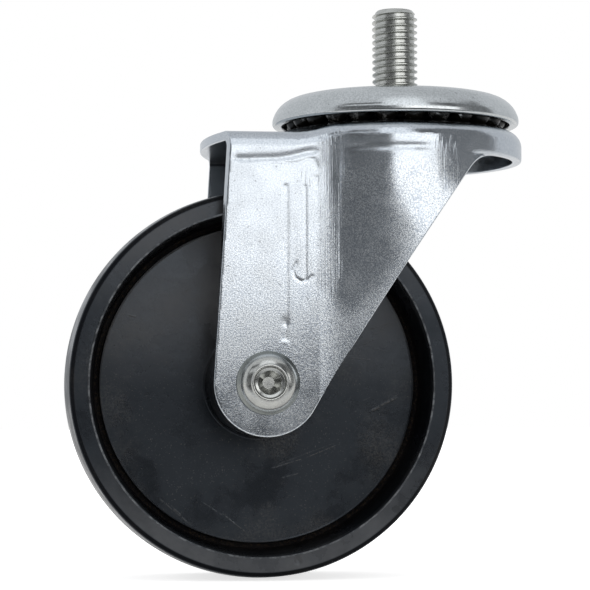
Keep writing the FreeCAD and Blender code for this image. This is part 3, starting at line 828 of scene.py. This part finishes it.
forkMarks = {
    "edgeBreak": 0.35,
    # how near a face lies to the leg's, and a vertex to the neck's curve, to be part of it
    "flush": 0.02, "nearNeck": 0.06,
    # cuts across the near leg along X and along Z: from, to, step
    "across": [(-51.0, -45.0, 0.6), (-45.0, -23.6, 0.3)],
    "up": [(-89.0, -66.0, 0.8), (-66.0, -60.0, 0.4), (-60.0, -51.0, 0.8), (-51.0, -45.0, 0.3),
           (-45.0, -27.0, 0.6), (-27.0, -13.2, 0.3)],
    "roundUp": [(-18.3, -9.4, 0.3)],
    # the leg's low front corner leans in: from a point, by the square of the way past it
    "leanFrom": (-40.0, -55.0), "leanTowards": (0.45, -0.89), "lean": 0.0006,
    # the neck between leg and round, cut along X and laid on its true curve
    "neckCuts": (-23.1, -18.5, 0.46), "neckTop": -17,
    # the round: outside which radius, from where, below which level it is pushed in
    "roundInside": 29.2, "roundFrom": -21, "roundOutside": 32, "roundTop": -11,
    "skirtFrom": (13.0, 17.0), "skirtRounding": 1.4, "skirtInset": 0.4,
    "creaseLevel": -16.3, "creaseHalf": 0.9, "creaseDepth": 0.12, "creaseSpan": (-19.0, 4.4),
    "creaseFade": (4, 2),
}

# dents on the near leg: points (x, z), half-width above or left, half-width below or right, depth
legDents = {
    "brow": ([(-44.5, -19.5), (-42.7, -19.5), (-34.4, -19.1), (-31.3, -18.6), (-27.0, -17.5), (-25.6, -17.4)],
             1.3, 0.45, 0.16),
    "browCrease": ([(-39.0, -20.4), (-36.7, -20.3), (-35.3, -19.9), (-31.1, -20.3), (-29.0, -19.9),
                    (-27.2, -19.1), (-25.4, -19.0)], 0.35, 0.3, 0.05),
    "patchA": ([(-25.3, -20.0), (-24.6, -21.6)], 0.9, 0.9, 0.10),
    "patchB": ([(-24.8, -23.8), (-24.5, -25.3)], 0.8, 0.8, 0.09),
    "smallDentA": ([(-39.9, -20.9), (-38.4, -22.0)], 0.6, 0.6, 0.02),
    "smallDentB": ([(-36.9, -20.6), (-35.8, -21.8), (-34.8, -22.5)], 0.6, 0.6, 0.025),
    "longGroove": ([(-32.6, -26.2), (-32.6, -40.0), (-32.7, -60.5)], 0.85, 0.75, 0.085),
    "grooveFoot": ([(-32.9, -60.0), (-33.0, -64.2)], 0.9, 0.9, 0.09),
    "grooveEnd": ([(-33.3, -65.0), (-32.9, -65.2)], 0.3, 0.3, -0.06),
    "thinGroove": ([(-27.7, -26.0), (-27.7, -36.0), (-27.7, -49.4)], 0.34, 0.34, 0.08),
    "thinTail": ([(-27.7, -50.6), (-27.7, -56.0)], 0.3, 0.3, 0.025),
    "crescent": ([(-30.0, -45.3), (-30.9, -47.2), (-30.4, -49.0), (-29.0, -50.0), (-27.4, -49.9),
                  (-25.9, -48.7)], 0.40, 0.28, 0.07),
}


def nearestOnPath(point, path):
    # distance to the path, and whether the point lies below or right of it
    nearest, beyond = 1e9, False
    for first, second in zip(path, path[1:]):
        a, b = Vector(first), Vector(second)
        share = max(0, min(1, (point - a).dot(b - a) / (b - a).length_squared))
        offset = point - a.lerp(b, share)
        if offset.length < nearest:
            along = b - a
            nearest, beyond = offset.length, along.x * offset.y - along.y * offset.x < 0
    return nearest, beyond


def smoothStep(value, low, high):
    share = max(0.0, min(1.0, (value - low) / (high - low)))
    return share * share * (3 - 2 * share)


def cutBands(bm, axis, bands, wanted):
    # cuts the wanted faces with planes across one axis, upwards
    faces = [face for face in bm.faces if wanted(face)]
    normal = Vector((0, 0, 0))
    normal[axis] = 1
    for low, high, step in bands:
        for k in range(int((high - low) / step + 0.5)):
            level = low + k * step
            faces = [face for face in faces
                     if face.is_valid and max(vert.co[axis] for vert in face.verts) > level + 1e-4]
            geom = set(faces)
            for face in faces:
                geom.update(face.edges)
                geom.update(face.verts)
            made = bmesh.ops.bisect_plane(bm, geom=list(geom), plane_co=normal * level, plane_no=normal)
            faces = [item for item in made["geom"] if isinstance(item, bmesh.types.BMFace)]


def pressedFork(material):
    m = forkMarks
    bm = meshOfNode("fork")
    breakEdges(bm, m["edgeBreak"], angle=50, segments=3)
    neckEdge, roundEdge, neckRadius = (wallTurn[key] for key in ("neckEdge", "roundEdge", "neckRadius"))

    def inLegFace(y):
        return -m["flush"] < y + legFace < m["edgeBreak"] + m["flush"]

    def onNearLeg(face):
        return all(inLegFace(vert.co.y) for vert in face.verts)

    def onNeck(face):
        return abs(face.normal.z) < 0.3 and all(
            neckEdge - 0.05 < vert.co.x < roundEdge + 0.05 and abs(vert.co.y) > legFace - 0.01
            for vert in face.verts)

    def onRound(face):
        return all(math.hypot(vert.co.x, vert.co.y) > m["roundInside"] and vert.co.x > m["roundFrom"]
                   for vert in face.verts)

    cutBands(bm, 0, m["across"], onNearLeg)
    cutBands(bm, 2, m["up"], onNearLeg)
    cutBands(bm, 2, m["roundUp"], onRound)
    cutBands(bm, 0, [m["neckCuts"]], onNeck)
    for vert in bm.verts:
        x, y, z = vert.co
        if neckEdge < x < roundEdge and z < m["neckTop"]:
            wanted = legFace + neckRadius - math.sqrt(neckRadius ** 2 - (x - neckEdge) ** 2)
            if abs(abs(y) - wanted) < m["nearNeck"]:
                vert.co.y = math.copysign(wanted, y)
    leanFrom, leanTowards = Vector(m["leanFrom"]), Vector(m["leanTowards"])
    for vert in bm.verts:
        x, y, z = vert.co
        if x < neckEdge + 0.1 and inLegFace(y):
            point = Vector((x, z))
            inward = m["lean"] * max(0, (point - leanFrom).dot(leanTowards)) ** 2
            dents = legDents.values() if y + legFace < m["flush"] else []
            for path, above, below, depth in dents:
                distance, beyond = nearestOnPath(point, path)
                width = below if beyond else above
                if distance < 3 * width:
                    inward += depth * math.exp(-(distance / width) ** 2)
            vert.co.y += max(0, inward)
            continue
        radius = math.hypot(x, y)
        if radius < m["roundOutside"] or z > m["roundTop"]:
            continue
        push = 0
        past = min(1, max(0, (rimBottom + m["skirtRounding"] - z) / m["skirtRounding"]))
        if z > rimBottom - 0.5:
            push += m["skirtInset"] * (1 - math.sqrt(1 - past * past)) * smoothStep(x, *m["skirtFrom"])
        if y < 0:
            (left, right), (fadeIn, fadeOut) = m["creaseSpan"], m["creaseFade"]
            along = smoothStep(x, left, left + fadeIn) * smoothStep(x, right, right - fadeOut)
            push += along * m["creaseDepth"] * math.exp(-((z - m["creaseLevel"]) / m["creaseHalf"]) ** 2)
        vert.co.x *= 1 - push / radius
        vert.co.y *= 1 - push / radius
    return finishPiece("pressed_fork", bm, "swivel_fork", material, ["fork"], turnOut=False)


def smoothCopy(name, node, body, material, edgeBreak=0.0):
    bm = meshOfNode(node)
    if edgeBreak:
        breakEdges(bm, edgeBreak)
    return finishPiece(name, bm, body, material, [node], turnOut=False)


# white studio: floor, surroundings and cards that give the metal something to mirror

studio = {
    "ambient": 0.62,
    "floorHalf": 4,
    "floorColour": 0.80,
    "floorGlow": (0.70, 1.0),
    "floorFade": (30, 150),
    "floorMirrored": 0.3,
    "lamps": [
        # name, azimuth from -Y towards +X, elevation, distance, width, height, radiance, seen in metal
        ("rightBox", 23.5, 8.5, 0.9, 0.897, 0.26, 1.4, True),
        ("overBox", -10, 78, 0.9, 0.55, 0.40, 1.2, False),
        ("leftBox", -100, 25, 0.9, 0.45, 0.60, 1.2, False),
    ],
    "domeRadius": 1.25,
    "domeSoft": 1.5,
    "domeGrey": 0.42,
    # what the metal mirrors: azimuths, elevations, grey
    "zones": {
        "overhead": (-181, 181, 44, 91, 0.70),
        "overRight": (60, 181, 30, 91, 0.62),
        "left": (-181, -65, -30, 91, 0.70),
        "front": (-65, -4, -91, 44, 0.11),
        "frontLow": (-65, -4, -91, 8, 0.21),
        "rightOfBox": (-4, 50, 17, 44, 0.12),
        "belowBox": (-4, 50, -91, 0, 0.13),
        "rightDark": (50, 90, -91, 44, 0.22),
        "farRight": (90, 181, -91, 44, 0.68),
        "upperBox": (-21, 24, 16, 60, 1.2),
        "thinBox": (-58, -21, 22, 32, 0.9),
    },
    # dark table in front of the white floor, in metres along Y
    "table": {"near": -0.14, "far": -1.3, "fade": 0.05, "width": 1.3, "above": 0.0006, "paleGrey": 0.9,
              "grey": 0.07},
}


def direction(azimuth, elevation):
    turn, rise = math.radians(azimuth), math.radians(elevation)
    return Vector((math.sin(turn) * math.cos(rise), -math.cos(turn) * math.cos(rise), math.sin(rise)))


def bluish(grey):
    return (grey, grey * 1.03, grey * 1.07)


def bareMaterial(name, piece):
    material = bpy.data.materials.new(name)
    material.use_nodes = True
    material.node_tree.nodes.clear()
    piece.data.materials.append(material)
    return material.node_tree


def addMirrored(name, bm, colourOf):
    # a glowing surface that only polished surfaces see
    card = newObject(name, bm)
    tree = bareMaterial(name, card)
    place = addNode(tree, "ShaderNodeTexCoord").outputs["Object"]
    glow = addNode(tree, "ShaderNodeEmission", {"Color": colourOf(tree, *axesOf(tree, place)), "Strength": 1.0})
    addNode(tree, "ShaderNodeOutputMaterial", {"Surface": glow.outputs[0]})
    card.visible_camera = False
    card.visible_diffuse = False
    card.visible_shadow = False
    return card


def addStudio():
    target = Vector((axle.x / 2, 0, axle.z / 2)) * mm
    for name, azimuth, elevation, distance, width, height, radiance, mirrored in studio["lamps"]:
        lamp = bpy.data.lights.new(name, "AREA")
        lamp.shape = "RECTANGLE"
        lamp.size, lamp.size_y = width, height
        lamp.energy = radiance * math.pi * width * height
        towards = direction(azimuth, elevation)
        holder = bpy.data.objects.new(name, lamp)
        holder.location = target + towards * distance
        holder.rotation_euler = towards.to_track_quat("Z", "Y").to_euler()
        holder.visible_glossy = mirrored
        bpy.context.scene.collection.objects.link(holder)

    def domeColour(tree, x, y, z):
        degrees = 180 / math.pi
        azimuth = times(tree, calc(tree, "ARCTAN2", x, times(tree, y, -1.0)), degrees)
        elevation = times(tree, calc(tree, "ARCSINE", calc(tree, "DIVIDE", z, studio["domeRadius"])), degrees)
        colour = bluish(studio["domeGrey"])
        soft = studio["domeSoft"]
        for left, right, low, high, grey in studio["zones"].values():
            share = times(tree, window(tree, azimuth, left, right, soft), window(tree, elevation, low, high, soft))
            colour = blendColour(tree, share, colour, bluish(grey))
        return colour

    bm = bmesh.new()
    bmesh.ops.create_uvsphere(bm, u_segments=64, v_segments=32, radius=studio["domeRadius"])
    addMirrored("mirroredDome", bm, domeColour).location = target

    table = studio["table"]

    def tableColour(tree, *axes):
        share = spread(tree, axes[1], table["near"] + table["fade"], table["near"] - table["fade"])
        return blendColour(tree, share, bluish(table["paleGrey"]), bluish(table["grey"]))

    bm = bmesh.new()
    bmesh.ops.create_grid(bm, x_segments=1, y_segments=1, size=0.5)
    near = table["near"] + table["fade"]
    bmesh.ops.scale(bm, vec=(table["width"], near - table["far"], 1), verts=bm.verts)
    bmesh.ops.translate(bm, vec=(0, (near + table["far"]) / 2, wheelLow.z * mm + table["above"]), verts=bm.verts)
    addMirrored("mirroredTable", bm, tableColour)


def seenRays(tree):
    # 1 for what the camera sees, straight or in a mirror or through glass
    rays = addNode(tree, "ShaderNodeLightPath")
    seen = calc(tree, "MAXIMUM", rays.outputs["Is Camera Ray"], rays.outputs["Is Glossy Ray"])
    return calc(tree, "MAXIMUM", seen, rays.outputs["Is Transmission Ray"])


def addSurroundings():
    world = bpy.data.worlds.new("whiteStudio")
    bpy.context.scene.world = world
    world.use_nodes = True
    tree = world.node_tree
    tree.nodes.clear()
    strength = spread(tree, seenRays(tree), 0, 1, studio["ambient"], 1.0)
    background = addNode(tree, "ShaderNodeBackground", {"Color": (1, 1, 1, 1), "Strength": strength})
    addNode(tree, "ShaderNodeOutputWorld", {"Surface": background.outputs[0]})

    bm = bmesh.new()
    bmesh.ops.create_grid(bm, x_segments=1, y_segments=1, size=studio["floorHalf"])
    bmesh.ops.translate(bm, vec=(0, 0, wheelLow.z * mm), verts=bm.verts)
    floor = newObject("floor", bm)
    tree = bareMaterial("paleFloor", floor)
    pale = studio["floorColour"]
    matte = addNode(tree, "ShaderNodeBsdfDiffuse", {"Color": (pale, pale, pale, 1)})
    position = addNode(tree, "ShaderNodeTexCoord").outputs["Object"]
    fromWheel = vectorCalc(tree, "DISTANCE", {0: position, 1: (axle.x * mm, 0, wheelLow.z * mm)})
    fade = (edge * mm for edge in studio["floorFade"])
    glowHere = spread(tree, fromWheel, *fade, *studio["floorGlow"])
    inView = addNode(tree, "ShaderNodeLightPath").outputs["Is Camera Ray"]
    glowHere = blendValue(tree, inView, studio["floorMirrored"], glowHere)
    glowStrength = times(tree, seenRays(tree), glowHere)
    glow = addNode(tree, "ShaderNodeEmission", {"Color": (1, 1, 1, 1), "Strength": glowStrength})
    both = addNode(tree, "ShaderNodeAddShader", {0: matte.outputs[0], 1: glow.outputs[0]})
    addNode(tree, "ShaderNodeOutputMaterial", {"Surface": both.outputs[0]})


addCamera()
addStudio()
addSurroundings()
scene = bpy.context.scene
scene.view_settings.view_transform = "Standard"
print("camera and studio ready")

capMetal = greasyShadedZinc("capZinc", "cap")[0]
boltMetal = boltZinc()
innerSteel = steelMaterial("innerSteel")
shadedBallSteel = steelMaterial("shadedBallSteel")
print("materials ready")

threadedStud(zincBase("studZinc", zincLooks["stud"])[0])
domedCap(capMetal)
bearingGreaseAndShade(greaseAndShadeMaterial())
print("stud, cap and grease ready")
mouldedWheel(wheelPlastic())
socketBolt(boltMetal)
print("wheel and bolt ready")
pressedFork(forkZinc())
print("fork ready")

smoothCopy("race_cup", "lower_race_cup", "stud_and_cap", capMetal, 0.2)
smoothCopy("spacer_tube", "king_spacer", "stud_and_cap", innerSteel, 0.15)
smoothCopy("sleeve_tube", "axle_sleeve", "swivel_fork", innerSteel, 0.15)
smoothCopy("locking_nut", "axle_nut", "swivel_fork", boltMetal, 0.2)
smoothCopy("nylon_ring", "nut_lock_ring", "swivel_fork", ringMaterial(), 0.1)
for node in sorted(cadNodes):
    if "_ball_" in node:
        body = node.split("_ball_")[0] + "_ball_ring"
        smoothCopy(node.replace("_ball_", "_bearing_ball_"), node, body, shadedBallSteel)
print("bearing and axle pieces ready")
